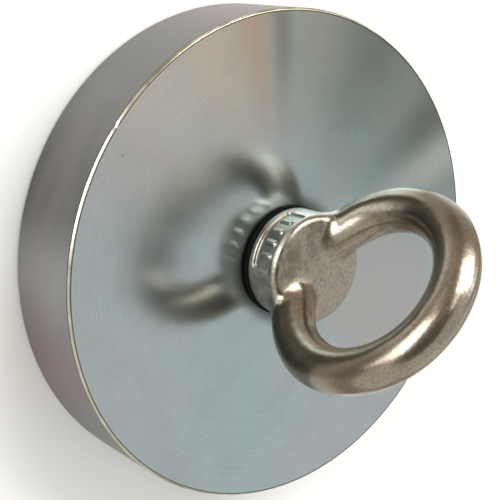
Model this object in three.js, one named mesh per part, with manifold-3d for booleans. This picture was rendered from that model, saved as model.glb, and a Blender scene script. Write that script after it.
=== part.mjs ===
// Magnet fishing magnet: a steel pot with a potted ring magnet, and an M10 eye bolt
// screwed through the pot's base and held by a lock nut in the brass centre bush.
// Millimetres. +Z runs from the holding face (z = 0) up to the eye.
import * as THREE from 'three';
import { mergeVertices } from 'three/addons/utils/BufferGeometryUtils.js';
import Module from 'manifold-3d';

const wasm = await Module();
wasm.setup();

// ---------- driving dimensions ----------
const GAP = 0.1; // between stacked pieces
const POT_R = 45;
const POT_H = 18;
const POT_BASE = 7; // thickness of the pot's closed end
const POT_WALL = 5;
const POT_CHAMFER = 0.9;
const POT_RIM_CHAMFER = 0.5;

const MAGNET_R = 38;
const MAGNET_BORE_R = 15;
const MAGNET_H = 10;
const MAGNET_CHAMFER = 0.5;
const BOND_H = 0.4; // adhesive between the magnet and the pot's base
const SPACER_COUNT = 3;
const SPACER_SIZE = [1.6, 6, 7]; // radial, along the gap, height
const SPACER_CLEAR = 0.3; // to the potting round it
const POTTING_RECESS = 0.4; // how far the potting stays back from the holding face

const BUSH_R = 14;
const BUSH_BORE_R = 12;
const BUSH_CHAMFER = 0.4;

const THREAD_PITCH = 1.5; // M10 coarse
const THREAD_BOLT = { valley: 4.1, crest: 4.95 };
const THREAD_HOLE = { valley: 4.35, crest: 5.2 }; // the space that the tap leaves
const THREAD_FLANKS = { rise: 0.2, crest: 0.5, fall: 0.7 }; // shares of one pitch
const THREAD_STEPS = 20; // facets in one turn
const TAP_BAR_R = 6; // clear of the thread's crests

const WASHER_R = 10;
const WASHER_BORE_R = 5.4;
const WASHER_H = 1.6;
const SPRING_R = 8.8;
const SPRING_BORE_R = 5.3;
const SPRING_H = 2.2;
const SPRING_SLIT = 0.9;
const SLIT_REACH = 8; // long enough to cut right through the washer's section
const SLIT_SLOPE = 0.6; // radians from the washer's axis
const NUT_FLATS = 16;
const NUT_H = 5;
const NUT_CHAMFER = 0.8;
const TRIM_CLEAR = 0.1; // how far a trimming shape stands off the surface that it doesn't cut
const CUT_PAST = 1; // how far a cut runs past the face that it opens

const SEAL_R = 10.1;
const SEAL_BORE_R = 5.3;
const SEAL_H = 0.9;

const COLLAR_R = 9.9;
const COLLAR_H = 7.4; // up to the rim of the top face
const COLLAR_DOME = 0.3; // rise of the top from its edge to its middle
const COLLAR_EDGE = 1.2; // radius of the rounded top edge
const COLLAR_FOOT = 0.4; // chamfer under the collar
const SHANK_END = 1.2; // height of the shank's tip above the holding face
const SHANK_CHAMFER = 1;
const SHANK_ROOT = 1; // how far the thread's bar runs up inside the collar
const RING_MEAN_R = 15.8;
const RING_SECTION_R = 3.9;
const RING_CENTRE = 22.3; // above the pot's top face
const ARM_ANGLE = THREE.MathUtils.degToRad(47); // below the ring's centre, where each arm runs straight
const ARM_RUN = 5; // from there into the collar
const FLASH_PROUD = 0.15; // casting ridge round the ring's mid-plane
const FLASH_W = 0.5;
const PANEL_DEPTH = 0.5;
const PANEL_H = 4.6;
const PANEL_LIFT = 0.5; // above the middle of the collar's straight side
const PANEL_ANGLE = THREE.MathUtils.degToRad(74);
const RIB_COUNT = 4;
const RIB_R = 0.55;
const RIB_LENGTH = 3;
const RIB_BACK = 0.15; // how far the ribs stay inside the collar's round

const WELD = 1e-4; // points closer than this are one point
const BIG = 72; // segments round the pot and the magnet
const MEDIUM = 48;
const SMALL = 32; // round what a tap takes out
const EYE_STEPS = 44;
const EYE_SIDES = 18;
const PANEL_STEPS = 12;
const RIB_SIDES = 10;
const RIB_END_STEPS = 3;
const EDGE_STEPS = 4; // facets in the collar's rounded edge

// ---------- heights worked out from them ----------
const baseUnder = POT_H - POT_BASE;
const magnetTop = baseUnder - BOND_H - 2 * GAP;
const magnetUnder = magnetTop - MAGNET_H;
const bushTop = baseUnder - GAP;
const washerTop = baseUnder - GAP;
const springTop = washerTop - WASHER_H - GAP;
const nutTop = springTop - SPRING_H - GAP;
const nutUnder = nutTop - NUT_H;
const sealUnder = POT_H + GAP;
const collarUnder = sealUnder + SEAL_H + GAP;
const ringZ = POT_H + RING_CENTRE;
const panelZ = collarUnder + (COLLAR_H - COLLAR_EDGE) / 2 + PANEL_LIFT;

// ---------- materials ----------
const metal = (color, roughness) => new THREE.MeshStandardMaterial({ color, roughness, metalness: 1 });
const plain = (color, roughness) => new THREE.MeshStandardMaterial({ color, roughness, metalness: 0 });
const zincSteel = metal('#9aa09a', 0.38);
const nickelIron = metal('#8a8078', 0.22);
const nickelMagnet = metal('#b8b6ae', 0.25);
const brass = metal('#b89b56', 0.35);
const stainless = metal('#a9abac', 0.3);
const springSteel = metal('#6f7173', 0.4);
const epoxy = plain('#1b1c1e', 0.45);
const adhesive = plain('#c9c3ac', 0.5);
const nylon = plain('#e4e1d6', 0.6);
const rubber = plain('#141414', 0.8);

// ---------- solids ----------
function solidOf(geometry, matrix = new THREE.Matrix4()) {
  const closed = geometry.clone().applyMatrix4(matrix);
  closed.deleteAttribute('normal');
  closed.deleteAttribute('uv');
  const merged = mergeVertices(closed, WELD);
  const mesh = new wasm.Mesh({
    numProp: 3,
    vertProperties: Float32Array.from(merged.attributes.position.array),
    triVerts: Uint32Array.from(merged.index.array),
  });
  return new wasm.Manifold(mesh);
}

function geometryOf(solid) {
  const mesh = solid.getMesh();
  const geometry = new THREE.BufferGeometry();
  geometry.setAttribute('position', new THREE.BufferAttribute(mesh.vertProperties, 3));
  geometry.setIndex(new THREE.BufferAttribute(mesh.triVerts, 1));
  geometry.computeVertexNormals();
  return geometry;
}

const shift = (x, y, z) => new THREE.Matrix4().makeTranslation(x, y, z);

// A solid of revolution about Z from [radius, height] points, anticlockwise.
function turned(points, segments) {
  const geometry = new THREE.LatheGeometry(points.map(([r, z]) => new THREE.Vector2(r, z)), segments);
  return geometry.rotateX(Math.PI / 2);
}

// A ring of rectangular section with its four edges chamfered.
function turnedRing(inner, outer, under, top, chamfer, segments) {
  const points = [
    [inner + chamfer, under],
    [outer - chamfer, under],
    [outer, under + chamfer],
    [outer, top - chamfer],
    [outer - chamfer, top],
    [inner + chamfer, top],
    [inner, top - chamfer],
    [inner, under + chamfer],
  ];
  const kept = chamfer > 0 ? points : points.filter((_, i) => i % 2 === 0);
  return turned([...kept, kept[0]], segments);
}

// A right-hand thread from z = 0 upwards: a solid bar whose surface follows the helix.
// Every turn is drawn a pitch higher than the last, in phase with z = 0.
function threadBar({ valley, crest }, under, top) {
  const flank = [
    [valley, 0],
    [valley, THREAD_FLANKS.rise],
    [crest, THREAD_FLANKS.crest],
    [crest, THREAD_FLANKS.fall],
  ];
  const first = Math.floor(under / THREAD_PITCH) - 1;
  const turns = Math.ceil(top / THREAD_PITCH) + 1 - first;
  const rows = turns * flank.length + 1;
  const positions = [];
  for (let step = 0; step <= THREAD_STEPS; step++) {
    const angle = (step / THREAD_STEPS) * Math.PI * 2;
    for (let row = 0; row < rows; row++) {
      const [radius, share] = flank[row % flank.length];
      const turn = first + Math.floor(row / flank.length) + share + step / THREAD_STEPS;
      positions.push(radius * Math.cos(angle), radius * Math.sin(angle), turn * THREAD_PITCH);
    }
  }
  return closeThread(positions, rows, flank.length, first, turns);
}

// Skins the grid of helix points and closes both ends to points on the axis.
function closeThread(positions, rows, perTurn, first, turns) {
  const index = [];
  const at = (step, row) => step * rows + row;
  for (let step = 0; step < THREAD_STEPS; step++) {
    for (let row = 0; row < rows - 1; row++) {
      index.push(at(step, row), at(step + 1, row), at(step + 1, row + 1));
      index.push(at(step, row), at(step + 1, row + 1), at(step, row + 1));
    }
  }
  const foot = positions.length / 3;
  positions.push(0, 0, (first - 1) * THREAD_PITCH, 0, 0, (first + turns + 2) * THREAD_PITCH);
  for (let step = 0; step < THREAD_STEPS; step++) {
    index.push(foot, at(step + 1, 0), at(step, 0));
    index.push(foot + 1, at(step, rows - 1), at(step + 1, rows - 1));
  }
  // the last column of step THREAD_STEPS is the first column one pitch higher
  for (let row = 0; row < perTurn; row++) {
    index.push(foot, at(0, row), at(0, row + 1));
    index.push(foot + 1, at(THREAD_STEPS, rows - 1 - row), at(THREAD_STEPS, rows - 2 - row));
  }
  const geometry = new THREE.BufferGeometry();
  geometry.setAttribute('position', new THREE.Float32BufferAttribute(positions, 3));
  geometry.setIndex(index);
  return geometry;
}

// The thread trimmed to the bar that it is cut on or in.
function thread(form, under, top, bar) {
  return solidOf(threadBar(form, under, top)).intersect(solidOf(bar));
}

// What a tap takes out between two heights.
function tapped(under, top) {
  const bar = new THREE.CylinderGeometry(TAP_BAR_R, TAP_BAR_R, top - under, SMALL).rotateX(Math.PI / 2);
  bar.translate(0, 0, (top + under) / 2);
  return thread(THREAD_HOLE, under, top, bar);
}

// ---------- pieces ----------
function steelPot() {
  const inner = POT_R - POT_WALL;
  const cup = turned(
    [
      [0, baseUnder],
      [inner, baseUnder],
      [inner, 0],
      [POT_R - POT_RIM_CHAMFER, 0],
      [POT_R, POT_RIM_CHAMFER],
      [POT_R, POT_H - POT_CHAMFER],
      [POT_R - POT_CHAMFER, POT_H],
      [0, POT_H],
    ],
    BIG,
  );
  return geometryOf(solidOf(cup).subtract(tapped(baseUnder - CUT_PAST, POT_H + CUT_PAST)));
}

function ringMagnet() {
  return turnedRing(MAGNET_BORE_R, MAGNET_R, magnetUnder, magnetTop, MAGNET_CHAMFER, BIG);
}

function magnetBond() {
  return turnedRing(MAGNET_BORE_R, MAGNET_R, magnetTop + GAP, baseUnder - GAP, 0, BIG);
}

// The outer potting is cut away round each spacer that centres the magnet.
function outerPotting() {
  const ring = turnedRing(MAGNET_R + GAP, POT_R - POT_WALL - GAP, POTTING_RECESS, baseUnder - GAP, 0, BIG);
  const [radial, along, height] = SPACER_SIZE;
  const cut = new THREE.BoxGeometry(2 * radial, along + 2 * SPACER_CLEAR, height + 2 * SPACER_CLEAR);
  let solid = solidOf(ring);
  for (let i = 0; i < SPACER_COUNT; i++) {
    solid = solid.subtract(solidOf(cut, spacerPlace(i)));
  }
  return geometryOf(solid);
}

function spacerPlace(i) {
  const middle = (MAGNET_R + POT_R - POT_WALL) / 2;
  const z = baseUnder - 2 * SPACER_CLEAR - SPACER_SIZE[2] / 2;
  const turn = new THREE.Matrix4().makeRotationZ((i / SPACER_COUNT) * Math.PI * 2);
  return turn.multiply(shift(middle, 0, z));
}

function innerPotting() {
  return turnedRing(BUSH_R + GAP, MAGNET_BORE_R - GAP, POTTING_RECESS, magnetTop, 0, MEDIUM);
}

function centreBush() {
  return turnedRing(BUSH_BORE_R, BUSH_R, POTTING_RECESS, bushTop, BUSH_CHAMFER, MEDIUM);
}

function flatWasher() {
  return turnedRing(WASHER_BORE_R, WASHER_R, washerTop - WASHER_H, washerTop, 0, MEDIUM);
}

function lockWasher() {
  const ring = turnedRing(SPRING_BORE_R, SPRING_R, springTop - SPRING_H, springTop, 0, MEDIUM);
  const slit = new THREE.BoxGeometry(SLIT_REACH, SPRING_SLIT, SPRING_H * 3).rotateX(SLIT_SLOPE);
  const place = shift((SPRING_R + SPRING_BORE_R) / 2, 0, springTop - SPRING_H / 2);
  return geometryOf(solidOf(ring).subtract(solidOf(slit, place)));
}

// A hexagon prism whose corners are turned off at both faces, with the thread cut through.
function lockNut() {
  const corner = NUT_FLATS / Math.sqrt(3);
  const hexagon = new THREE.CylinderGeometry(corner, corner, NUT_H, 6).rotateX(Math.PI / 2);
  const rounded = turned(
    [
      [0, nutUnder],
      [corner - NUT_CHAMFER, nutUnder],
      [corner + TRIM_CLEAR, nutUnder + NUT_CHAMFER / 2],
      [corner + TRIM_CLEAR, nutTop - NUT_CHAMFER / 2],
      [corner - NUT_CHAMFER, nutTop],
      [0, nutTop],
    ],
    MEDIUM,
  );
  const body = solidOf(hexagon, shift(0, 0, (nutTop + nutUnder) / 2)).intersect(solidOf(rounded));
  return geometryOf(body.subtract(tapped(nutUnder - CUT_PAST, nutTop + CUT_PAST)));
}

function sealWasher() {
  return turnedRing(SEAL_BORE_R, SEAL_R, sealUnder, sealUnder + SEAL_H, 0, MEDIUM);
}

// The collar: a short cylinder with a rounded top edge and a slightly domed top.
function collar() {
  const top = collarUnder + COLLAR_H;
  const points = [
    [0, collarUnder],
    [COLLAR_R - COLLAR_FOOT, collarUnder],
    [COLLAR_R, collarUnder + COLLAR_FOOT],
  ];
  for (let i = 0; i <= EDGE_STEPS; i++) {
    const angle = (i / EDGE_STEPS) * (Math.PI / 2);
    const back = COLLAR_EDGE * (1 - Math.cos(angle));
    points.push([COLLAR_R - back, top - COLLAR_EDGE * (1 - Math.sin(angle))]);
  }
  points.push([COLLAR_R / 2, top + COLLAR_DOME * 0.75], [0, top + COLLAR_DOME]);
  return turned(points, MEDIUM);
}

function shank() {
  const radius = THREAD_BOLT.crest;
  const top = collarUnder + SHANK_ROOT;
  const cutter = turned(
    [
      [0, SHANK_END],
      [radius - SHANK_CHAMFER, SHANK_END],
      [radius + TRIM_CLEAR, SHANK_END + SHANK_CHAMFER + TRIM_CLEAR],
      [radius + TRIM_CLEAR, top],
      [0, top],
    ],
    THREAD_STEPS,
  );
  return thread(THREAD_BOLT, SHANK_END, top, cutter);
}

// The middle line of the ring and its two arms, in the XZ plane: up the arm on the +X
// side, round the ring and down the other arm.
class EyeLine extends THREE.Curve {
  getPoint(share, target = new THREE.Vector3()) {
    const sweep = Math.PI + 2 * ARM_ANGLE;
    const arc = RING_MEAN_R * sweep;
    const along = share * (arc + 2 * ARM_RUN) - ARM_RUN;
    const swept = THREE.MathUtils.clamp(along / RING_MEAN_R, 0, sweep);
    const past = along - swept * RING_MEAN_R;
    const angle = swept - ARM_ANGLE;
    const x = RING_MEAN_R * Math.cos(angle) - past * Math.sin(angle);
    const z = RING_MEAN_R * Math.sin(angle) + past * Math.cos(angle);
    return target.set(x, 0, ringZ + z);
  }
}

// A thin flat strip along the same line is the casting ridge round the ring's mid-plane.
function ring() {
  const round = new THREE.Shape();
  round.absarc(0, 0, RING_SECTION_R, 0, Math.PI * 2, false);
  const reach = RING_SECTION_R + FLASH_PROUD;
  const strip = new THREE.Shape();
  strip.moveTo(-FLASH_W / 2, -reach);
  strip.lineTo(FLASH_W / 2, -reach);
  strip.lineTo(FLASH_W / 2, reach);
  strip.lineTo(-FLASH_W / 2, reach);
  strip.closePath();
  const extrudePath = new EyeLine();
  const along = { steps: EYE_STEPS, curveSegments: EYE_SIDES, bevelEnabled: false, extrudePath };
  const tube = new THREE.ExtrudeGeometry(round, along);
  const ridge = new THREE.ExtrudeGeometry(strip, along);
  return solidOf(tube).add(solidOf(ridge));
}

// The recessed panel on the collar's -Y side, with a row of plain upright ribs in it.
function panelCut() {
  const floor = COLLAR_R - PANEL_DEPTH;
  const shape = new THREE.Shape();
  shape.absarc(0, 0, floor, -PANEL_ANGLE / 2, PANEL_ANGLE / 2, false);
  shape.absarc(0, 0, COLLAR_R + CUT_PAST, PANEL_ANGLE / 2, -PANEL_ANGLE / 2, true);
  shape.closePath();
  const upwards = { depth: PANEL_H, bevelEnabled: false, curveSegments: PANEL_STEPS };
  const block = new THREE.ExtrudeGeometry(shape, upwards);
  return solidOf(block, onPanel(-PANEL_H / 2));
}

function rib(i) {
  const across = (i - (RIB_COUNT - 1) / 2) * (PANEL_ANGLE / (RIB_COUNT + 1));
  const straight = RIB_LENGTH - 2 * RIB_R;
  const bar = new THREE.CapsuleGeometry(RIB_R, straight, RIB_END_STEPS, RIB_SIDES).rotateX(Math.PI / 2);
  const radius = COLLAR_R - RIB_R - RIB_BACK;
  bar.translate(radius * Math.cos(across), radius * Math.sin(across), 0);
  return solidOf(bar, onPanel(0));
}

// From a frame that looks along +X at the panel's middle to the collar's -Y side.
function onPanel(lift) {
  const turn = new THREE.Matrix4().makeRotationZ(-Math.PI / 2);
  return shift(0, 0, panelZ + lift).multiply(turn);
}

function eyeBolt() {
  let solid = solidOf(collar()).subtract(panelCut());
  for (let i = 0; i < RIB_COUNT; i++) {
    solid = solid.add(rib(i));
  }
  return geometryOf(solid.add(shank()).add(ring()));
}

// ---------- the assembly ----------
function named(name, geometry, material) {
  const mesh = new THREE.Mesh(geometry, material);
  mesh.name = name;
  return mesh;
}

const pot = new THREE.Group();
pot.add(named('steel_pot', steelPot(), zincSteel));
pot.add(named('ring_magnet', ringMagnet(), nickelMagnet));
pot.add(named('magnet_bond', magnetBond(), adhesive));
pot.add(named('outer_potting', outerPotting(), epoxy));
pot.add(named('inner_potting', innerPotting(), epoxy.clone()));
pot.add(named('centre_bush', centreBush(), brass));
for (let i = 0; i < SPACER_COUNT; i++) {
  const spacer = named(`centring_spacer_${i + 1}`, new THREE.BoxGeometry(...SPACER_SIZE), nylon.clone());
  spacer.applyMatrix4(spacerPlace(i));
  pot.add(spacer);
}

const nutStack = new THREE.Group();
nutStack.add(named('flat_washer', flatWasher(), stainless));
nutStack.add(named('lock_washer', lockWasher(), springSteel));
nutStack.add(named('lock_nut', lockNut(), stainless.clone()));

const eye = new THREE.Group();
eye.add(named('seal_washer', sealWasher(), rubber));
eye.add(named('eye_bolt', eyeBolt(), nickelIron));

const magnet = new THREE.Group();
magnet.add(pot, nutStack, eye);

export default magnet;
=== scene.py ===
"""Magnet fishing magnet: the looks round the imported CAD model.

Shapes are worked out in millimetres, in the part's own frame (+Z from the holding face up to
the eye), and scaled to metres when a mesh is made.
"""

import math

import bpy
import numpy as np
from mathutils import Matrix, Vector


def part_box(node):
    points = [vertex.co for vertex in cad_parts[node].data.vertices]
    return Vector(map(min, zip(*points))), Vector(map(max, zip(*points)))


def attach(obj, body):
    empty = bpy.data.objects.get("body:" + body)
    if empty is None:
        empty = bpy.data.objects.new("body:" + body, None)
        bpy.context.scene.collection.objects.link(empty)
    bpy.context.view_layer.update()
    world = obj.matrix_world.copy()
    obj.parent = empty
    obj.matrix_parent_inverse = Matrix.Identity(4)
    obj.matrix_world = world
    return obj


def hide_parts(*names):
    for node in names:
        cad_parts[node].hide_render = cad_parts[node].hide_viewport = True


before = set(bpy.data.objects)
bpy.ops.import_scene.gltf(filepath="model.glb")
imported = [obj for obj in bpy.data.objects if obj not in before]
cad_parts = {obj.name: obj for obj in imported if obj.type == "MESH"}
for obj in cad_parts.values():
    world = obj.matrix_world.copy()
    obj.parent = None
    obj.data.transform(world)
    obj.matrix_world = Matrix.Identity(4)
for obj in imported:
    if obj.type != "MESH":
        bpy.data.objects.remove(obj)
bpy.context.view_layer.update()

MM = 0.001


def span(node):
    """The CAD node's lowest and highest corner, in millimetres."""
    low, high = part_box(node)
    return np.array(low) / MM, np.array(high) / MM


def radius_of(node):
    return span(node)[1][0]


# ---------- sizes that the CAD boxes give ----------
GAP = 0.1  # between two pieces of the CAD model that meet
POT_TOP = span("steel_pot")[1][2]
POT_R = radius_of("steel_pot")
COLLAR_UNDER = span("seal_washer")[1][2] + GAP
BASE_UNDER = span("magnet_bond")[1][2] + GAP
SHANK_END = span("eye_bolt")[0][2]
RING_TOP = span("eye_bolt")[1][2]

# ---------- sizes inside those boxes ----------
COLLAR_R = 9.9
COLLAR_TOP = 26.5
RING_SECTION_R = 3.9
RING_MEAN_R = 15.8
CAD_RIDGE_PROUD = 0.15
RING_Z = RING_TOP - CAD_RIDGE_PROUD - RING_SECTION_R - RING_MEAN_R
RIDGE_PROUD = 0.1  # the casting ridge round the ring's mid-plane
RIDGE_HALF = 0.5
ARM_ANGLE = math.radians(47)
ARM_RUN = 5
PITCH = 1.5
BOLT_THREAD = (4.1, 4.95)  # valley and crest
HOLE_THREAD = (4.35, 5.2)
SINK = 0.3  # how much wider than its thread a tapped bore starts
SINK_R = HOLE_THREAD[1] + SINK


# ---------- mesh tools ----------
def mesh_object(name, points, faces, materials, normals=None):
    """A smooth mesh object from points in millimetres."""
    mesh = bpy.data.meshes.new(name)
    mesh.from_pydata((np.asarray(points) * MM).tolist(), [], faces.tolist())
    mesh.update()
    mesh.polygons.foreach_set("use_smooth", np.ones(len(faces), bool))
    for material in materials:
        mesh.materials.append(material)
    if normals is None:
        normals = area_normals(points, faces)
    mesh.normals_split_custom_set_from_vertices(normals.tolist())
    thing = bpy.data.objects.new(name, mesh)
    bpy.context.scene.collection.objects.link(thing)
    return thing


def area_normals(points, faces):
    """One normal for each point, in which the large faces round it count the most."""
    a, b, c, d = (points[faces[:, i]] for i in range(4))
    face = np.cross(c - a, d - b)
    total = np.zeros_like(points)
    for corner in range(4):
        np.add.at(total, faces[:, corner], face)
    return total / np.maximum(np.linalg.norm(total, axis=1, keepdims=True), 1e-12)


def rounded(corners, radius, steps=4):
    """A closed outline with every corner turned into an arc, of one radius or one for each."""
    outline = []
    count = len(corners)
    radii = np.broadcast_to(radius, count)
    for i in range(count):
        before, here, after = (np.array(corners[(i + j) % count], float) for j in (-1, 0, 1))
        into = (here - before) / np.linalg.norm(here - before)
        out = (after - here) / np.linalg.norm(after - here)
        turn = math.acos(np.clip(into @ out, -1, 1))
        room = 0.45 * min(np.linalg.norm(here - before), np.linalg.norm(after - here))
        back = min(radii[i] * math.tan(turn / 2), room)
        for step in range(steps + 1):
            share = step / steps
            start = here - into * back
            end = here + out * back
            near = 2 * share * (1 - share) * here
            outline.append((1 - share) ** 2 * start + near + share**2 * end)
    return np.array(outline)


def revolve(name, outline, segments, materials, shape=None):
    """A ring from a closed outline of (radius, height), anticlockwise. shape(radius, angle,
    height) may change the radius round the ring."""
    angle = np.linspace(0, 2 * math.pi, segments, endpoint=False)[None, :]
    radius = np.repeat(outline[:, :1], segments, 1)
    height = np.repeat(outline[:, 1:], segments, 1)
    if shape is not None:
        radius = shape(radius, angle, height)
    points = np.stack([radius * np.cos(angle), radius * np.sin(angle), height], 2).reshape(-1, 3)
    rows = len(outline)
    row = np.arange(rows)[:, None]
    column = np.arange(segments)[None, :]
    next_row = (row + 1) % rows
    next_column = (column + 1) % segments
    corners = [row * segments + column, row * segments + next_column]
    corners += [next_row * segments + next_column, next_row * segments + column]
    faces = np.stack([np.broadcast_to(c, (rows, segments)) for c in corners], 2).reshape(-1, 4)
    return mesh_object(name, points, faces, materials)


def ring_outline(inner, outer, under, top, bevel):
    return rounded([(inner, under), (outer, under), (outer, top), (inner, top)], bevel)


def thread_radius(angle, height, valley, crest):
    """The radius of a right-hand thread's surface. All the threads are in phase."""
    share = np.mod(height / PITCH - angle / (2 * math.pi), 1)
    return np.interp(share, [0, 0.2, 0.5, 0.7, 1], [valley, valley, crest, crest, valley])


def bore_rows(radius, top, under, step=0.1):
    """Outline points down a bore, from its top to its underside."""
    heights = np.linspace(top, under, int((top - under) / step) + 1)
    return np.stack([np.full(len(heights), radius), heights], 1)


def tapped(under, top):
    """The shape function of a ring whose bore is threaded and countersunk at both ends."""

    def shape(radius, angle, height):
        thread = thread_radius(angle, height, *HOLE_THREAD)
        end = np.minimum(height - under, top - height)
        return np.where(radius <= SINK_R + 1e-6, np.maximum(thread, SINK_R - end), radius)

    return shape


# ---------- the eye bolt's shape, as a distance field ----------
def smooth_min(a, b, reach):
    share = np.clip(0.5 + 0.5 * (b - a) / reach, 0, 1)
    return b * (1 - share) + a * share - reach * share * (1 - share)


def smooth_max(a, b, reach):
    return -smooth_min(-a, -b, reach)


def cast_waves(seed, count, shortest, longest):
    """A soft random field of about -1 to 1, as a sum of plane waves."""
    dice = np.random.default_rng(seed)
    axes = dice.normal(size=(count, 3))
    axes /= np.linalg.norm(axes, axis=1, keepdims=True)
    waves = 2 * math.pi * axes / dice.uniform(shortest, longest, size=(count, 1))
    starts = dice.uniform(0, 2 * math.pi, size=count)

    def field(x, y, z):
        total = 0
        for wave, start in zip(waves, starts):
            total = total + np.sin(wave[0] * x + wave[1] * y + wave[2] * z + start)
        return total / math.sqrt(count)

    return field


long_waves = cast_waves(7, 7, 7, 16)
short_waves = cast_waves(11, 8, 2.2, 4.5)
CAST_LONG = 0.035
CAST_SHORT = 0.008
ROOT_FILLET = 2.0  # where the arms run into the collar


def ring_distance(x, y, z):
    """The ring and its two arms, with the casting ridge round its mid-plane."""
    side = np.abs(x)
    up = z - RING_Z
    cos, sin = math.cos(ARM_ANGLE), math.sin(ARM_ANGLE)
    start_x, start_z = RING_MEAN_R * cos, -RING_MEAN_R * sin
    along = np.clip(-(side - start_x) * sin - (up - start_z) * cos, 0, ARM_RUN)
    to_arm = np.hypot(side - start_x + along * sin, up - start_z + along * cos)
    to_arc = np.abs(np.hypot(side, up) - RING_MEAN_R)
    in_plane = np.where(np.arctan2(up, side) > -ARM_ANGLE, to_arc, to_arm)
    bar = np.hypot(in_plane, y) - RING_SECTION_R
    return bar - RIDGE_PROUD * np.exp(-((y / RIDGE_HALF) ** 2))


def collar_distance(x, y, z):
    """The collar: a short cylinder with a rounded top edge, a little domed on top."""
    edge, dome, foot = 1.2, 0.3, 0.25
    radius = np.hypot(x, y)
    top = COLLAR_TOP + dome * np.clip(1 - (radius / COLLAR_R) ** 2, 0, 1)
    out = radius - (COLLAR_R - edge)
    up = z - (top - edge)
    inside = np.minimum(np.maximum(out, up), 0)
    upper = inside + np.hypot(np.maximum(out, 0), np.maximum(up, 0)) - edge
    return smooth_max(upper, COLLAR_UNDER - z, foot)


PANEL_Z = 22.7
PANEL_HALF_HEIGHT = 2.3
PANEL_HALF_ANGLE = math.radians(37)
PANEL_FLOOR_R = COLLAR_R - 0.5
RIB_COUNT = 4
RIB_R = 0.55
RIB_LINE_R = COLLAR_R - RIB_R - 0.15
RIB_HALF = 0.95


def with_panel(distance, x, y, z):
    """Sinks the panel into the collar's -Y side and stands the plain ribs in it."""
    radius = np.hypot(x, y)
    angle = np.arctan2(x, -y)
    beside = (np.abs(angle) - PANEL_HALF_ANGLE) * COLLAR_R
    above = np.abs(z - PANEL_Z) - PANEL_HALF_HEIGHT
    frame_edge = smooth_max(beside, above, 0.8)
    cut = smooth_max(frame_edge, PANEL_FLOOR_R - radius, 0.25)
    sunk = smooth_max(distance, -cut, 0.3)
    for i in range(RIB_COUNT):
        across = (i - (RIB_COUNT - 1) / 2) * (2 * PANEL_HALF_ANGLE / (RIB_COUNT + 1))
        rib_x, rib_y = RIB_LINE_R * math.sin(across), -RIB_LINE_R * math.cos(across)
        past = np.maximum(np.abs(z - PANEL_Z) - RIB_HALF, 0)
        rib = np.sqrt((x - rib_x) ** 2 + (y - rib_y) ** 2 + past**2) - RIB_R
        sunk = smooth_min(sunk, rib, 0.25)
    return sunk


def shank_distance(x, y, z):
    """The threaded shank, with a chamfered tip."""
    radius = np.hypot(x, y)
    thread = thread_radius(np.arctan2(y, x), z, *BOLT_THREAD)
    tip = (radius - BOLT_THREAD[1] + 1 - (z - SHANK_END)) / math.sqrt(2)
    side = smooth_max((radius - thread) * 0.5, tip, 0.15)
    return smooth_max(side, np.maximum(SHANK_END - z, z - COLLAR_UNDER - 1), 0.1)


def eye_distance(x, y, z):
    """The whole eye bolt. The waves of the casting only take metal away on average."""
    cast = smooth_min(ring_distance(x, y, z), collar_distance(x, y, z), ROOT_FILLET)
    cast = cast + CAST_LONG * (1 + long_waves(x, y, z)) / 2 + CAST_SHORT * short_waves(x, y, z)
    cast = with_panel(cast, x, y, z)
    return np.minimum(cast, shank_distance(x, y, z))


def gradient(field, points, step=0.02):
    parts = []
    for axis in range(3):
        ahead, behind = points.copy(), points.copy()
        ahead[:, axis] += step
        behind[:, axis] -= step
        parts.append((field(*ahead.T) - field(*behind.T)) / (2 * step))
    return np.stack(parts, 1)


def onto_surface(field, points, rounds=4):
    """Moves points along the field's slope until they lie on its zero surface."""
    for _ in range(rounds):
        slope = gradient(field, points)
        steep = np.maximum((slope**2).sum(1), 0.05)
        points = points - 0.9 * slope * (field(*points.T) / steep)[:, None]
    return points


def surface_net(field, low, high, step):
    """Quads round the zero surface of a field, one point for each cell that it crosses."""
    axes = [np.arange(a, b + step, step) for a, b in zip(low, high)]
    values = field(*np.meshgrid(*axes, indexing="ij"))
    inside = values < 0
    cells = tuple(n - 1 for n in values.shape)
    total = np.zeros(cells + (3,))
    hits = np.zeros(cells)
    crossings = []
    for axis in range(3):
        near = tuple(slice(0, -1) if i == axis else slice(None) for i in range(3))
        far = tuple(slice(1, None) if i == axis else slice(None) for i in range(3))
        crossed = np.argwhere(inside[near] != inside[far])
        start = values[near][tuple(crossed.T)]
        end = values[far][tuple(crossed.T)]
        place = crossed.astype(float)
        place[:, axis] += start / (start - end)
        crossings.append((axis, crossed, inside[near][tuple(crossed.T)]))
        u, v = (axis + 1) % 3, (axis + 2) % 3
        for back_u in (0, 1):
            for back_v in (0, 1):
                cell = crossed.copy()
                cell[:, u] -= back_u
                cell[:, v] -= back_v
                np.add.at(total, tuple(cell.T), place)
                np.add.at(hits, tuple(cell.T), 1)
    used = hits > 0
    number = np.full(cells, -1)
    number[used] = np.arange(used.sum())
    points = total[used] / hits[used][:, None] * step + np.array(low)
    faces = []
    for axis, crossed, leaving in crossings:
        u, v = (axis + 1) % 3, (axis + 2) % 3
        corners = []
        for back_u, back_v in ((1, 1), (0, 1), (0, 0), (1, 0)):
            cell = crossed.copy()
            cell[:, u] -= back_u
            cell[:, v] -= back_v
            corners.append(number[tuple(cell.T)])
        quad = np.stack(corners, 1)
        quad[~leaving] = quad[~leaving][:, ::-1]
        faces.append(quad)
    return points, np.concatenate(faces)


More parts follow.
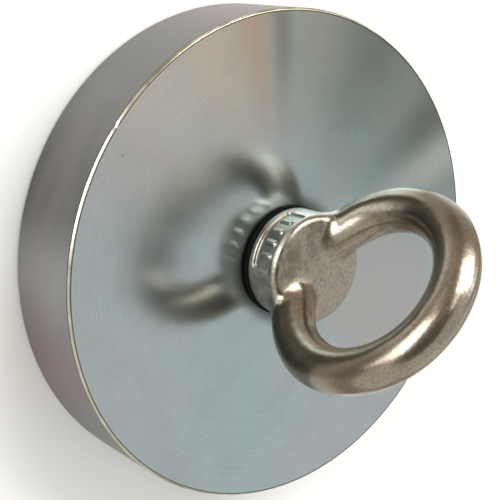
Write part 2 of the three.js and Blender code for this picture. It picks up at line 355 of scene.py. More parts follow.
# ---------- material tools ----------
class Nodes:
    """Makes shader nodes in one tree."""

    def __init__(self, tree):
        self.tree = tree
        tree.nodes.clear()

    def add(self, kind, sockets=None, **settings):
        """A node. Each of its sockets takes a plain value or another node's output."""
        node = self.tree.nodes.new(kind)
        for name, value in settings.items():
            setattr(node, name, value)
        for name, value in (sockets or {}).items():
            if isinstance(value, bpy.types.NodeSocket):
                self.tree.links.new(value, node.inputs[name])
            else:
                node.inputs[name].default_value = value
        return node

    def math(self, operation, a, b=0.0):
        return self.add("ShaderNodeMath", {0: a, 1: b}, operation=operation).outputs[0]

    def times(self, first, *others):
        for other in others:
            first = self.math("MULTIPLY", first, other)
        return first

    def plus(self, first, *others):
        for other in others:
            first = self.math("ADD", first, other)
        return first

    def vector(self, operation, a, b=(0, 0, 0)):
        node = self.add("ShaderNodeVectorMath", {0: a, 1: b}, operation=operation)
        return node.outputs["Value" if operation in ("DOT_PRODUCT", "DISTANCE") else "Vector"]

    def parts(self, vector):
        return self.add("ShaderNodeSeparateXYZ", {0: vector}).outputs

    def here(self):
        """The point's place in the piece's own coordinates, in metres."""
        return self.add("ShaderNodeTexCoord").outputs["Object"]

    def polar(self, vector):
        """A point's radius, angle and height round the piece's axis."""
        x, y, height = self.parts(vector)
        radius = self.math("SQRT", self.plus(self.times(x, x), self.times(y, y)))
        return radius, self.math("ARCTAN2", y, x), height

    def stretched(self, vector, scale, turn=0.0):
        sockets = {"Vector": vector, "Scale": scale, "Rotation": (0, 0, turn)}
        return self.add("ShaderNodeMapping", sockets).outputs[0]

    def noise(self, vector, scale, detail=3.0, roughness=0.5, dimensions="3D", distortion=0.0):
        sockets = {"Scale": scale, "Detail": detail, "Roughness": roughness, "Distortion": distortion}
        sockets["W" if dimensions == "1D" else "Vector"] = vector
        return self.add("ShaderNodeTexNoise", sockets, noise_dimensions=dimensions).outputs[0]

    def ramp(self, value, low, high, at_low=0.0, at_high=1.0):
        """Goes smoothly from at_low, where the value is low, to at_high, where it is high."""
        sockets = {"Value": value, "From Min": low, "From Max": high, "To Min": at_low, "To Max": at_high}
        return self.add("ShaderNodeMapRange", sockets, interpolation_type="SMOOTHSTEP").outputs[0]

    def mix(self, share, a, b):
        a, b = (c if isinstance(c, bpy.types.NodeSocket) else (*c, 1) for c in (a, b))
        return self.add("ShaderNodeMix", {0: share, 6: a, 7: b}, data_type="RGBA").outputs[2]

    def cover(self, color, tint, share, mask):
        """Lays a tint over a colour, with the given share where the mask is 1."""
        return self.mix(self.times(mask, share), color, tint)

    def fade(self, color, tint, share, value, low, high):
        """Lays a tint over a colour, from nothing where the value is low to the given share."""
        return self.mix(self.ramp(value, low, high, 0, share), color, tint)

    def streaks(self, color, angle, share, table):
        """Lays tinted sectors over a colour: painted reflections, fixed round the piece's axis."""
        for azimuth, half, tint, strength in table:
            facing = self.math("COSINE", self.math("SUBTRACT", angle, math.radians(azimuth)))
            sector = self.ramp(self.math("ARCCOSINE", facing), math.radians(half), 0, 0, strength)
            color = self.mix(self.times(sector, share), color, tint)
        return color

    def relief(self, *layers):
        """Fine relief, as layers of (height, distance in metres) over each other."""
        sockets = {}
        for height, distance in layers:
            sockets |= {"Height": height, "Distance": distance, "Strength": 1.0}
            sockets["Normal"] = self.add("ShaderNodeBump", sockets).outputs[0]
        return sockets["Normal"]

    def finish(self, color, roughness, normal, metallic, **extra):
        sockets = {"Base Color": color, "Roughness": roughness, "Normal": normal, "Metallic": metallic}
        sockets |= {name.replace("_", " "): value for name, value in extra.items()}
        shader = self.add("ShaderNodeBsdfPrincipled", sockets)
        self.add("ShaderNodeOutputMaterial", {"Surface": shader.outputs[0]})

    def finish_turned(self, color, roughness, normal, anisotropy):
        """Turned metal, whose shine is stretched across the marks that the tool left."""
        tangent = self.add("ShaderNodeTangent", direction_type="RADIAL", axis="Z").outputs[0]
        turned = {"Anisotropic": anisotropy, "Anisotropic_Rotation": 0.25, "Tangent": tangent}
        self.finish(color, roughness, normal, 1.0, **turned)


def new_material(name):
    material = bpy.data.materials.new(name)
    material.use_nodes = True
    return material, Nodes(material.node_tree)


# ---------- materials: lengths in metres, noise scales per metre ----------
# Painted reflections, as tinted sectors round the pot's axis: azimuth, half angle, colour, strength
FACE_PAINTED_REFLECTIONS = [
    (-163, 13, (0.22, 0.235, 0.205), 0.5),
    (179, 8, (0.40, 0.42, 0.40), 0.6),
    (-146, 13, (0.46, 0.45, 0.41), 0.6),
    (-131.5, 5.5, (0.15, 0.14, 0.125), 0.6),
    (-123, 8, (0.40, 0.305, 0.22), 0.7),
    (-111, 14, (0.47, 0.45, 0.375), 0.6),
    (-95, 18, (0.42, 0.44, 0.42), 0.6),
    (156, 11, (0.80, 0.80, 0.78), 0.55),
    (168, 10, (0.16, 0.16, 0.135), 0.6),
]
WALL_PAINTED_REFLECTIONS = [
    (-70, 32, (0.10, 0.11, 0.10), 0.9),
    (-49, 17, (0.31, 0.31, 0.31), 0.8),
    (-29, 20, (0.275, 0.21, 0.225), 0.8),
    (-8, 18, (0.17, 0.18, 0.165), 0.7),
    (-125, 18, (0.24, 0.19, 0.20), 0.6),
]


def turned_face():
    """The pot's closed face: fine concentric tool marks under a clear zinc coat."""
    cool, warm = (0.325, 0.395, 0.398), (0.365, 0.365, 0.34)
    violet, green = (0.385, 0.362, 0.385), (0.28, 0.38, 0.36)
    blotch, speck = (0.22, 0.24, 0.24), (0.12, 0.12, 0.11)
    tool_mark, brush_mark = (0.20, 0.22, 0.215), (0.22, 0.24, 0.235)
    foot_shade, rim_line = (0.045, 0.05, 0.048), (0.06, 0.055, 0.045)
    reflection_tint, reflection_middle = (0.375, 0.355, 0.335), (-0.008, 0.024, 0.018)

    material, nodes = new_material("turned_face")
    vector = nodes.here()
    radius, angle, _ = nodes.polar(vector)
    marks = nodes.noise(radius, 5200, detail=4, roughness=0.7, dimensions="1D")
    waves = nodes.noise(radius, 420, detail=2, dimensions="1D")
    arc = nodes.add("ShaderNodeCombineXYZ", {0: radius, 1: nodes.times(angle, 0.0015)}).outputs[0]
    brushed = nodes.noise(arc, 2400, detail=3, roughness=0.6)
    clouds = nodes.noise(vector, 38, detail=3, distortion=0.4)
    mottle = nodes.noise(vector, 160, detail=4, roughness=0.6)
    hue = nodes.noise(vector, 27, detail=3, distortion=0.9)
    hair_one = nodes.noise(nodes.stretched(vector, (3200, 60, 200), 0.5), 1, detail=1)
    hair_two = nodes.noise(nodes.stretched(vector, (60, 2600, 200), 0.9), 1, detail=1)
    scratch = nodes.math("MAXIMUM", nodes.ramp(hair_one, 0.76, 0.82), nodes.ramp(hair_two, 0.77, 0.83))
    specks = nodes.ramp(nodes.noise(vector, 900, detail=2), 0.72, 0.78)
    rim = nodes.ramp(radius, 0.04435, 0.0445)
    foot = nodes.ramp(radius, 0.0132, 0.0100)
    reflection_share = nodes.ramp(radius, 0.018, 0.043)
    bent_angle = nodes.plus(angle, nodes.times(nodes.noise(vector, 55, detail=3), 0.09))
    from_reflection = nodes.vector("DISTANCE", vector, reflection_middle)

    color = nodes.fade(cool, warm, 0.55, clouds, 0.35, 0.75)
    color = nodes.fade(color, blotch, 0.2, mottle, 0.35, 0.7)
    color = nodes.cover(color, speck, 0.5, specks)
    color = nodes.fade(color, violet, 0.42, hue, 0.48, 0.7)
    color = nodes.fade(color, green, 0.4, hue, 0.46, 0.3)
    # painted reflections: tinted sectors fixed round the face's axis
    color = nodes.streaks(color, bent_angle, reflection_share, FACE_PAINTED_REFLECTIONS)
    # a painted warm reflection on the face, beside the collar
    color = nodes.fade(color, reflection_tint, 0.8, from_reflection, 0.017, 0.010)
    color = nodes.fade(color, tool_mark, 0.24, marks, 0.3, 0.7)
    color = nodes.fade(color, brush_mark, 0.11, brushed, 0.3, 0.7)
    # painted shade: a dark ring on the face round the collar's foot
    color = nodes.cover(color, foot_shade, 0.85, foot)
    color = nodes.cover(color, rim_line, 0.85, rim)

    rough = nodes.ramp(clouds, 0.2, 0.8, 0.14, 0.175)
    rough = nodes.plus(rough, nodes.times(marks, 0.04), nodes.times(scratch, 0.06), nodes.times(foot, 0.1))
    fine = [(marks, 0.0000024), (waves, 0.000003), (mottle, 0.000002), (scratch, -0.0000015)]
    nodes.finish_turned(color, rough, nodes.relief(*fine), 0.6)
    return material


def satin_side():
    """The pot's wall: satin turned steel with the faint rainbow tints of a zinc coat."""
    # the wall's base colour is painted darker than the face's, as painted shade on the same coated steel
    dark, light = (0.19, 0.195, 0.185), (0.235, 0.24, 0.235)
    violet, green = (0.25, 0.19, 0.21), (0.165, 0.205, 0.19)
    speck, edge_line = (0.09, 0.09, 0.085), (0.05, 0.047, 0.04)

    material, nodes = new_material("satin_side")
    vector = nodes.here()
    _, angle, height = nodes.polar(vector)
    lines = nodes.noise(nodes.stretched(vector, (60, 60, 5200)), 1, detail=3, roughness=0.7)
    clouds = nodes.noise(vector, 45, detail=3, distortion=0.6)
    hue = nodes.noise(nodes.stretched(vector, (26, 26, 90)), 1, detail=2)
    specks = nodes.ramp(nodes.noise(vector, 1100, detail=2), 0.72, 0.78)
    under_edge = nodes.ramp(height, 0.0173, 0.01745)

    color = nodes.fade(dark, light, 1, clouds, 0.3, 0.7)
    # painted reflections: tinted sectors fixed round the wall
    color = nodes.streaks(color, angle, 1.0, WALL_PAINTED_REFLECTIONS)
    color = nodes.fade(color, violet, 0.3, hue, 0.5, 0.66)
    color = nodes.fade(color, green, 0.3, hue, 0.46, 0.32)
    color = nodes.cover(color, speck, 0.5, specks)
    color = nodes.cover(color, edge_line, 0.85, under_edge)
    rough = nodes.ramp(clouds, 0.2, 0.8, 0.33, 0.42)
    nodes.finish_turned(color, rough, nodes.relief((lines, 0.000006), (clouds, 0.00002)), 0.5)
    return material


def bright_edge():
    """The chamfer round the closed face, rubbed bright."""
    material, nodes = new_material("bright_edge")
    wear = nodes.noise(nodes.here(), 260, detail=3)
    color = nodes.fade((0.40, 0.375, 0.30), (0.58, 0.56, 0.49), 1, wear, 0.3, 0.7)
    nodes.finish(color, nodes.ramp(wear, 0.3, 0.7, 0.18, 0.3), nodes.relief((wear, 0.00001)), 1.0)
    return material


def cast_nickel():
    """The eye bolt: a nickel-plated casting, glossy on the ring, matt on the collar's top."""
    dark, light = (0.255, 0.22, 0.178), (0.31, 0.275, 0.228)
    matt_top, stain = (0.33, 0.305, 0.255), (0.14, 0.12, 0.088)
    pale_flank, panel_floor_shade = (0.54, 0.54, 0.505), (0.19, 0.195, 0.18)
    reflection_brown, speck, pit = (0.118, 0.092, 0.066), (0.12, 0.10, 0.078), (0.06, 0.05, 0.04)

    material, nodes = new_material("cast_nickel")
    vector = nodes.here()
    radius, _, height = nodes.polar(vector)
    x, y, _ = nodes.parts(vector)
    normal = nodes.add("ShaderNodeTexCoord").outputs["Normal"]
    _, facing_back, facing_up = nodes.parts(normal)
    peel = nodes.noise(vector, 620, detail=3, roughness=0.55)
    grain = nodes.noise(vector, 2600, detail=2, roughness=0.6)
    fine = nodes.noise(vector, 1900, detail=3, roughness=0.7)
    clouds = nodes.noise(vector, 110, detail=3)
    pit_noise = nodes.noise(vector, 1500, detail=3, roughness=0.65)
    patches = nodes.ramp(nodes.noise(vector, 170, detail=2), 0.42, 0.62)
    blotches = nodes.ramp(nodes.noise(vector, 260, detail=5, roughness=0.7), 0.42, 0.6)

    # the collar's top, its flank, and the floor of the panel in its flank
    low = nodes.ramp(height, 0.0305, 0.0272)
    top_face = nodes.times(nodes.ramp(facing_up, 0.8, 0.97), low)
    upright = nodes.ramp(nodes.math("ABSOLUTE", facing_up), 0.7, 0.3)
    flank = nodes.times(upright, nodes.ramp(height, 0.0268, 0.0262))
    sunk = nodes.times(nodes.ramp(radius, 0.00968, 0.00948), flank)
    stains = nodes.times(blotches, nodes.ramp(y, 0.001, -0.007, 0.2, 1), top_face)
    rough_zone = nodes.math("MAXIMUM", top_face, nodes.times(patches, 0.6, low))
    few_pits = nodes.times(patches, 0.5, nodes.ramp(pit_noise, 0.74, 0.80))
    pits = nodes.math("MAXIMUM", nodes.times(nodes.ramp(pit_noise, 0.6, 0.68), rough_zone), few_pits)

    # painted dark brown reflections on both sides of the ring's front, on its faces turned towards -Y
    from_middle = nodes.vector("SUBTRACT", vector, (0, 0, RING_Z * MM))
    outward = nodes.vector("NORMALIZE", nodes.vector("MULTIPLY", from_middle, (1, 0, 1)))
    facing_out = nodes.vector("DOT_PRODUCT", outward, normal)
    reflection_mask = nodes.times(
        nodes.ramp(nodes.times(facing_back, -1.0), 0.5, 0.85),
        nodes.math("MAXIMUM", nodes.ramp(x, 0.008, 0.013), nodes.ramp(x, -0.007, -0.014)),
        nodes.ramp(height, 0.036, 0.042),
        nodes.ramp(facing_out, -0.2, 0.1),
        nodes.ramp(facing_out, 0.85, 0.6),
    )

    color = nodes.fade(dark, light, 1, clouds, 0.3, 0.7)
    color = nodes.cover(color, matt_top, 0.8, top_face)
    color = nodes.cover(color, stain, 0.75, stains)
    # painted reflections in dark brown on the ring's front
    color = nodes.cover(color, reflection_brown, 0.8, reflection_mask)
    color = nodes.cover(color, pale_flank, 0.8, flank)
    # painted shade on the floor of the sunk panel
    color = nodes.cover(color, panel_floor_shade, 0.5, sunk)
    color = nodes.fade(color, speck, 0.35, fine, 0.4, 0.62)
    color = nodes.cover(color, pit, 0.6, pits)
    rough = nodes.ramp(clouds, 0.2, 0.8, 0.18, 0.25)
    rough = nodes.plus(rough, nodes.times(flank, 0.12), nodes.times(rough_zone, 0.2))
    rough_grain = nodes.times(grain, rough_zone)
    skin = [(peel, 0.00002), (fine, 0.000022), (rough_grain, 0.00002), (pits, -0.00005)]
    nodes.finish(color, rough, nodes.relief(*skin), 1.0)
    return material


def turned_metal(name, dark, light, rough):
    """Small turned or pressed metal pieces: brushing round the axis, light mottling."""
    material, nodes = new_material(name)
    vector = nodes.here()
    radius, _, _ = nodes.polar(vector)
    marks = nodes.noise(radius, 4200, detail=3, roughness=0.7, dimensions="1D")
    clouds = nodes.noise(vector, 220, detail=3)
    specks = nodes.ramp(nodes.noise(vector, 1400, detail=2), 0.7, 0.77)
    color = nodes.fade(dark, light, 1, clouds, 0.3, 0.7)
    color = nodes.cover(color, (0.1, 0.1, 0.09), 0.4, specks)
    shine = nodes.ramp(clouds, 0.2, 0.8, rough, rough + 0.1)
    nodes.finish_turned(color, shine, nodes.relief((marks, 0.000008), (clouds, 0.00003)), 0.4)
    return material


def plated_magnet():
    """The sintered magnet's nickel plating: grainy, with a few faint stains."""
    material, nodes = new_material("plated_magnet")
    vector = nodes.here()
    clouds = nodes.noise(vector, 60, detail=4)
    grain = nodes.noise(vector, 1800, detail=3, roughness=0.65)
    stains = nodes.ramp(nodes.noise(vector, 130, detail=4, distortion=0.8), 0.6, 0.75)
    color = nodes.fade((0.55, 0.545, 0.52), (0.68, 0.675, 0.65), 1, clouds, 0.3, 0.7)
    color = nodes.cover(color, (0.35, 0.32, 0.27), 0.25, stains)
    rough = nodes.ramp(clouds, 0.2, 0.8, 0.22, 0.32)
    nodes.finish(color, rough, nodes.relief((grain, 0.00001)), 1.0)
    return material


def cast_resin(name, dark, light, rough, ripple):
    """Poured and cured resin: faint ripples, dust and small bubbles."""
    material, nodes = new_material(name)
    vector = nodes.here()
    ripples = nodes.noise(vector, 140, detail=3)
    dust = nodes.ramp(nodes.noise(vector, 2400, detail=2), 0.66, 0.8)
    cell = nodes.add("ShaderNodeTexVoronoi", {"Vector": vector, "Scale": 260.0}, feature="F1").outputs[0]
    bubbles = nodes.ramp(cell, 0.16, 0.1)
    color = nodes.fade(dark, light, 1, ripples, 0.3, 0.7)
    color = nodes.cover(color, (0.3, 0.29, 0.27), 0.3, dust)
    shine = nodes.plus(nodes.ramp(ripples, 0.3, 0.8, rough, rough + 0.12), nodes.times(dust, 0.2))
    nodes.finish(color, shine, nodes.relief((ripples, ripple), (bubbles, -0.00006)), 0.0)
    return material


def black_rubber():
    """The washer's matt rubber, a little dusty."""
    material, nodes = new_material("black_rubber")
    vector = nodes.here()
    grain = nodes.noise(vector, 1700, detail=4, roughness=0.7)
    dust = nodes.ramp(nodes.noise(vector, 500, detail=3), 0.55, 0.8)
    color = nodes.cover((0.004, 0.004, 0.004), (0.012, 0.012, 0.011), 0.35, dust)
    shine = nodes.ramp(grain, 0.3, 0.7, 0.7, 0.9)
    nodes.finish(color, shine, nodes.relief((grain, 0.00003)), 0.0, Specular_IOR_Level=0.06)
    return material


def nylon_block():
    """The spacers' natural nylon."""
    material, nodes = new_material("nylon_block")
    grain = nodes.noise(nodes.here(), 900, detail=3)
    color = nodes.fade((0.80, 0.79, 0.74), (0.88, 0.87, 0.83), 1, grain, 0.3, 0.7)
    shine = nodes.ramp(grain, 0.3, 0.7, 0.4, 0.55)
    nodes.finish(color, shine, nodes.relief((grain, 0.00002)), 0.0, Subsurface_Weight=0.1)
    return material


# ---------- pieces ----------
POT_WALL = 5
POT_EDGE = 0.32  # the chamfer round the closed face
POT_RIM = 0.5  # the chamfer round the holding face
POT_ROUNDING = [0, 0.4, 0.3, 0.6, 0.6, 0.15, 0.15, 0]
NICK_AZIMUTH = math.radians(-85.5)
NICK_HALF = math.radians(0.6)
NICK_DEPTH = 0.15
NICK_BELOW = 1.3
NICK_FADE = 0.5
TURNED, WALL, EDGE = 0, 1, 2  # the pot's finishes
WALL_SLOPE = 0.72  # steeper faces than this take the wall's finish
EDGE_SLOPES = (0.2, 0.98)

NUT_FLATS = 16
NUT_CORNER_LOSS = 0.12
NUT_FACE_LOSS = 1.3
NUT_TURNED_SLOPE = 1.7

SEAL_BORE_R = 5.3
MAGNET_BORE_R = 15
BUSH_BORE_R = 12
WASHER_BORE_R = 5.4
SPRING_BORE_R = 5.3
SPRING_GAP = (8, 0.9, 6.6)
SPRING_GAP_TILT = 0.6
SPACER_COUNT = 3
SPACER_SEAT = (3.2, 6.6, 7.6)
SPACER_MIDDLE = (39, 0, 6.9)


def pot_outline():
    """The cup's section: base, wall and chamfers, then the rows of the tapped bore."""
    inner = POT_R - POT_WALL
    corners = [
        (SINK_R, BASE_UNDER),
        (inner, BASE_UNDER),
        (inner, 0),
        (POT_R - POT_RIM, 0),
        (POT_R, POT_RIM),
        (POT_R, POT_TOP - POT_EDGE),
        (POT_R - POT_EDGE, POT_TOP),
        (SINK_R, POT_TOP),
    ]
    steps = 6
    body = rounded(corners, POT_ROUNDING, steps)
    body = body[steps + 1 : -steps - 1]  # the bore's own rows take the place of its two corners
    return np.concatenate([body, bore_rows(SINK_R, POT_TOP, BASE_UNDER)])


def pot_finishes(pot):
    """Which of the pot's finishes each of its faces takes."""
    polygons = pot.data.polygons
    normals = np.zeros(len(polygons) * 3)
    centres = np.zeros_like(normals)
    polygons.foreach_get("normal", normals)
    polygons.foreach_get("center", centres)
    slope = np.abs(normals[2::3])
    reach = np.hypot(centres[0::3], centres[1::3]) / MM
    upper = centres[2::3] / MM > POT_TOP / 2
    wall = (slope < WALL_SLOPE) & (reach > POT_R / 2)
    edge = (slope > EDGE_SLOPES[0]) & (slope < EDGE_SLOPES[1]) & (reach > POT_R - POT_EDGE - 0.2)
    return np.where(edge & upper, EDGE, np.where(wall, WALL, TURNED)).astype(np.int32)


def make_pot():
    threaded = tapped(BASE_UNDER, POT_TOP)

    def shape(radius, angle, height):
        radius = threaded(radius, angle, height)
        away = np.abs(np.mod(angle - NICK_AZIMUTH + math.pi, 2 * math.pi) - math.pi) / NICK_HALF
        dent = NICK_DEPTH * np.clip(1 - away**2, 0, 1)
        near_top = np.clip((height - (POT_TOP - NICK_BELOW)) / NICK_FADE, 0, 1)
        return radius - dent * near_top * (radius > POT_R - 1.5)

    segments = 480
    materials = [turned_face(), satin_side(), bright_edge()]
    pot = revolve("turned_pot", pot_outline(), segments, materials, shape)
    pot.data.polygons.foreach_set("material_index", pot_finishes(pot))
    return pot


def make_eye():
    step = 0.24
    reach = RING_MEAN_R + RING_SECTION_R + 1
    low = (-reach, -COLLAR_R - 0.7, SHANK_END - 0.7)
    high = (reach, COLLAR_R + 0.7, RING_TOP + 0.7)
    points, faces = surface_net(eye_distance, low, high, step)
    points = onto_surface(eye_distance, points)
    normals = gradient(eye_distance, points)
    normals /= np.linalg.norm(normals, axis=1, keepdims=True)
    return mesh_object("cast_eye", points, faces, [cast_nickel()], normals)


def make_nut(metal):
    """A hexagonal nut: tapped, with its corners turned off at both ends."""
    low, high = span("lock_nut")
    under, top = low[2], high[2]
    corner_r = NUT_FLATS / math.sqrt(3)
    face_r = corner_r - NUT_FACE_LOSS
    wall_heights = under + 0.15 + (top - under - 0.3) * np.linspace(0, 1, 12)
    wall = np.stack([np.full(12, corner_r), wall_heights], 1)
    lower = [(SINK_R, under), (face_r - 0.2, under), (face_r, under + 0.02)]
    upper = [(face_r, top - 0.02), (face_r - 0.2, top), (SINK_R, top)]
    outline = np.concatenate([lower, wall, upper, bore_rows(SINK_R, top, under)[1:-1]])
    threaded = tapped(under, top)

    def shape(radius, angle, height):
        side = np.mod(angle, math.pi / 3) - math.pi / 6
        hexagon = np.minimum(NUT_FLATS / 2 / np.cos(side), corner_r - NUT_CORNER_LOSS)
        turned_off = face_r + np.maximum(np.minimum(height - under, top - height), 0) * NUT_TURNED_SLOPE
        radius = threaded(radius, angle, height)
        outside = np.minimum(hexagon, turned_off)
        return np.where(radius > face_r, np.minimum(radius, outside), radius)

    return revolve("hex_nut", outline, 288, [metal], shape)


def make_ring(name, node, bore_r, bevel, metal, segments=192):
    low, high = span(node)
    outline = ring_outline(bore_r, high[0], low[2], high[2], bevel)
    return revolve(name, outline, segments, [metal])


def cut_boxes(thing, boxes):
    """Takes boxes out of a piece, each given as (size, place matrix)."""
    for size, place in boxes:
        bpy.ops.mesh.primitive_cube_add(size=1)
        cutter = bpy.context.object
        cutter.data.transform(Matrix.Diagonal((*(Vector(size) * MM), 1)))
        cutter.data.transform(place)
        change = thing.modifiers.new("cut", "BOOLEAN")
        change.operation = "DIFFERENCE"
        change.object = cutter
        change.solver = "EXACT"
        bpy.context.view_layer.update()
        evaluated = thing.evaluated_get(bpy.context.evaluated_depsgraph_get())
        cut = bpy.data.meshes.new_from_object(evaluated)
        thing.modifiers.clear()
        thing.data = cut
        bpy.data.objects.remove(cutter)
    thing.data.set_sharp_from_angle(angle=math.radians(40))
    return thing


def poured(inner, outer, under, top, sag):
    """A potting's section: its lower face, which shows, sinks between its two edges."""
    across = np.linspace(0, 1, 9)
    lower = np.stack([inner + (outer - inner) * across, under + sag * 4 * across * (1 - across)], 1)
    return np.concatenate([lower, [(outer, top), (inner, top)]])


def make_outer_potting(resin):
    """The potting between magnet and wall, with a seat for each nylon spacer."""
    low, high = span("outer_potting")
    outline = poured(radius_of("ring_magnet") + GAP, high[0], low[2], high[2], 0.25)
    potting = revolve("outer_potting_pour", outline, 288, [resin])
    out = Matrix.Translation(Vector(SPACER_MIDDLE) * MM)
    turns = [Matrix.Rotation(i * 2 * math.pi / SPACER_COUNT, 4, "Z") for i in range(SPACER_COUNT)]
    return cut_boxes(potting, [(SPACER_SEAT, turn @ out) for turn in turns])


def make_inner_potting(resin):
    low, high = span("inner_potting")
    outline = poured(radius_of("centre_bush") + GAP, high[0], low[2], high[2], 0.08)
    return revolve("inner_potting_pour", outline, 192, [resin])


def make_spring_washer(metal):
    """The lock washer, with its slanting split."""
    washer = make_ring("split_washer", "lock_washer", SPRING_BORE_R, 0.2, metal)
    low, high = span("lock_washer")
    middle = Vector((high[0] - 1.5, 0, (low[2] + high[2]) / 2)) * MM
    place = Matrix.Translation(middle) @ Matrix.Rotation(SPRING_GAP_TILT, 4, "X")
    return cut_boxes(washer, [(SPRING_GAP, place)])


def put(piece, body, slot, *nodes):
    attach(piece, body)
    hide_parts(*nodes)


stainless = turned_metal("stainless", (0.50, 0.505, 0.51), (0.60, 0.605, 0.61), 0.25)
spring_steel = turned_metal("spring_steel", (0.20, 0.205, 0.21), (0.30, 0.305, 0.31), 0.32)
brass = turned_metal("brass", (0.60, 0.45, 0.20), (0.72, 0.56, 0.27), 0.28)
black_resin = cast_resin("black_resin", (0.012, 0.012, 0.013), (0.022, 0.022, 0.024), 0.22, 0.0001)
bond_resin = cast_resin("bond_resin", (0.55, 0.50, 0.38), (0.66, 0.61, 0.48), 0.4, 0.00005)

put(make_pot(), "pot", "zinc_plated_steel", "steel_pot")
put(make_eye(), "eye", "nickel_plated_iron", "eye_bolt")
seal = make_ring("rubber_seal", "seal_washer", SEAL_BORE_R, 0.3, black_rubber())
put(seal, "seal", "rubber", "seal_washer")
magnet = make_ring("plated_ring", "ring_magnet", MAGNET_BORE_R, 0.6, plated_magnet(), 360)
put(magnet, "pot", "nickel_plated_magnet", "ring_magnet")
put(make_outer_potting(black_resin), "pot", "epoxy", "outer_potting")
put(make_inner_potting(black_resin), "pot", "epoxy", "inner_potting")
bush = make_ring("bush_tube", "centre_bush", BUSH_BORE_R, 0.35, brass, 240)
put(bush, "pot", "brass", "centre_bush")
washer = make_ring("plain_washer", "flat_washer", WASHER_BORE_R, 0.2, stainless)
put(washer, "washers", "stainless_steel", "flat_washer")
put(make_spring_washer(spring_steel), "washers", "spring_steel", "lock_washer")
put(make_nut(stainless), "nut", "stainless_steel", "lock_nut")

# the spacers and the bond keep their CAD meshes
nylon = nylon_block()
for i in range(SPACER_COUNT):
    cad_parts[f"centring_spacer_{i + 1}"].material_slots[0].material = nylon
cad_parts["magnet_bond"].material_slots[0].material = bond_resin


# ---------- the stage ----------
FLOOR_SIZE = 6
FLOOR_DROP = 0.00005
POOL_MIDDLE = (-0.008, 0.028, 0)  # the floor is palest round here
WORLD_COLOR = (1.08, 1.06, 0.96)
# Soft patches of the studio: azimuth, elevation, inner and outer half angle, colour
PATCHES = [
    (-150, 0, 10, 60, (0.62, 0.50, 0.37)),
    (-112, 35, 5, 32, (0.55, 0.43, 0.30)),
    (160, 0, 10, 50, (0.62, 0.50, 0.37)),
    (-45, 62, 14, 34, (0.18, 0.19, 0.17)),
    (-105, 70, 8, 22, (0.30, 0.28, 0.24)),
    (-74, 43, 5, 14, (0.36, 0.35, 0.31)),
    (-138, 59, 3, 9, (3.4, 3.4, 3.3)),
    (85, 42, 14, 40, (1.22, 1.20, 1.10)),
    (105, 50, 12, 40, (1.09, 1.12, 1.14)),
    (127, 57, 3, 12, (1.28, 1.05, 0.96)),
    (129, 41, 8, 12.5, (0.50, 0.51, 0.44)),
    (125.5, 53, 1.5, 4, (1.1, 0.9, 0.72)),
]
# The camera, in millimetres, as a fit to the photo's outlines of disc, collar and ring gave it
CAMERA_PLACE = (46.25, -131.54, 172.75)
CAMERA_RIGHT = (-0.5385, 0.5807, 0.6106)
CAMERA_DOWN = (0.8156, 0.5412, 0.2046)
CAMERA_AHEAD = (-0.2116, 0.6082, -0.7651)
LENS = 82.43
SENSOR = 36


def direction(azimuth, elevation):
    a, e = math.radians(azimuth), math.radians(elevation)
    return Vector((math.cos(a) * math.cos(e), math.sin(a) * math.cos(e), math.sin(e)))


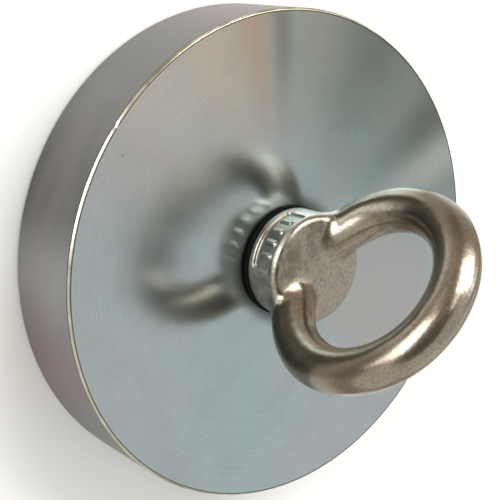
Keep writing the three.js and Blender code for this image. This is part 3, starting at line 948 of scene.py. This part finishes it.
def make_floor():
    """A pale floor, a little darker and warmer away from the object, and pale again far off."""
    material, nodes = new_material("pale_floor")
    vector = nodes.here()
    cloud = nodes.noise(vector, 3, detail=2)
    away = nodes.vector("DISTANCE", vector, POOL_MIDDLE)
    color = nodes.fade((0.72, 0.72, 0.72), (0.74, 0.74, 0.74), 1, cloud, 0.3, 0.7)
    # painted shade: a darker, warmer ring of floor round the object, for the metal to show in its
    # reflections
    color = nodes.fade(color, (0.35, 0.31, 0.26), 1, away, 0.09, 0.21)
    color = nodes.fade(color, (0.9, 0.9, 0.89), 1, away, 0.7, 2.6)
    rough = nodes.ramp(cloud, 0, 1, 0.8, 0.85)
    nodes.finish(color, rough, nodes.relief((cloud, 0.0001)), 0.0, Specular_IOR_Level=0.1)
    place = (0, 0, -FLOOR_DROP)
    bpy.ops.mesh.primitive_grid_add(x_subdivisions=2, y_subdivisions=2, size=FLOOR_SIZE, location=place)
    floor = bpy.context.object
    floor.name = "floor"
    floor.data.materials.append(material)


def soft_light(name, azimuth, elevation, distance, width, height, radiance):
    """A soft box that faces the object, with its brightness as seen in a mirror."""
    lamp = bpy.data.lights.new(name, "AREA")
    lamp.shape = "RECTANGLE"
    lamp.size = width
    lamp.size_y = height
    lamp.energy = 4 * radiance * width * height
    thing = bpy.data.objects.new(name, lamp)
    towards = direction(azimuth, elevation)
    thing.location = towards * distance
    thing.rotation_mode = "QUATERNION"
    thing.rotation_quaternion = towards.to_track_quat("Z", "Y")
    bpy.context.scene.collection.objects.link(thing)


def make_world():
    world = bpy.data.worlds.new("studio")
    bpy.context.scene.world = world
    world.use_nodes = True
    nodes = Nodes(world.node_tree)
    ray = nodes.add("ShaderNodeTexCoord").outputs["Generated"]
    color = WORLD_COLOR
    for azimuth, elevation, inner, outer, patch in PATCHES:
        facing = nodes.vector("DOT_PRODUCT", ray, direction(azimuth, elevation))
        share = nodes.ramp(facing, math.cos(math.radians(outer)), math.cos(math.radians(inner)))
        color = nodes.mix(share, color, patch)
    background = nodes.add("ShaderNodeBackground", {"Color": color, "Strength": 1.0})
    nodes.add("ShaderNodeOutputWorld", {"Surface": background.outputs[0]})


def make_camera():
    lens = bpy.data.cameras.new("camera")
    lens.sensor_width = SENSOR
    lens.lens = LENS
    camera = bpy.data.objects.new("camera", lens)
    axes = (Vector(CAMERA_RIGHT), -Vector(CAMERA_DOWN), -Vector(CAMERA_AHEAD))
    place = Matrix(axes).transposed().to_4x4()
    place.translation = Vector(CAMERA_PLACE) * MM
    camera.matrix_world = place
    bpy.context.scene.collection.objects.link(camera)
    bpy.context.scene.camera = camera


make_floor()
make_world()
make_camera()
soft_light("window", -171, 42, 1.0, 0.98, 0.54, 5.5)
soft_light("lamp", -74, 18, 1.0, 0.72, 0.6, 4.4)
bpy.context.scene.view_settings.view_transform = "Standard"
